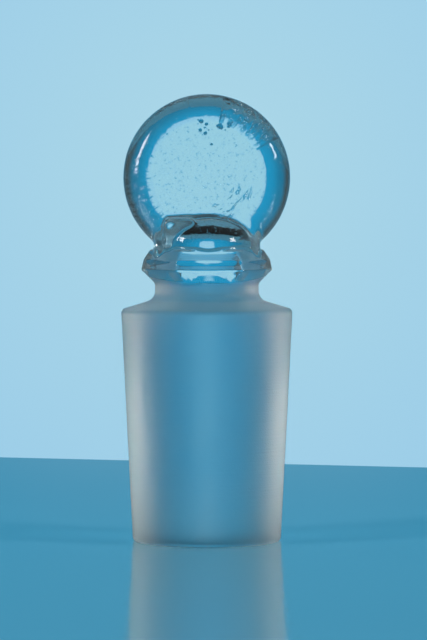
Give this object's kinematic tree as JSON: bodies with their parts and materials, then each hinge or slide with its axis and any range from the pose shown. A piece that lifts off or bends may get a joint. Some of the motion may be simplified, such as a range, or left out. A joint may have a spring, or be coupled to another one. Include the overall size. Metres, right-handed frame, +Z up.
{
  "type": "glass stopper",
  "caption": "Solid glass stopper with a flat round head, a hexagonal collar and a ground taper that seals the socket of a bottle or flask.",
  "frame": {"origin": "middle of the face that the stopper stands on, at the small end of the cone", "axes": "+Z up the axis of the cone to the head; the flat faces of the head look along -Y and +Y"},
  "size_m": [0.0192, 0.0192, 0.0501],
  "materials": {
    "glass": "fire-polished head and collar, fine ground matt cone"
  },
  "bodies": {
    "root": {"stopper": "glass"}
  },
  "joints": []
}
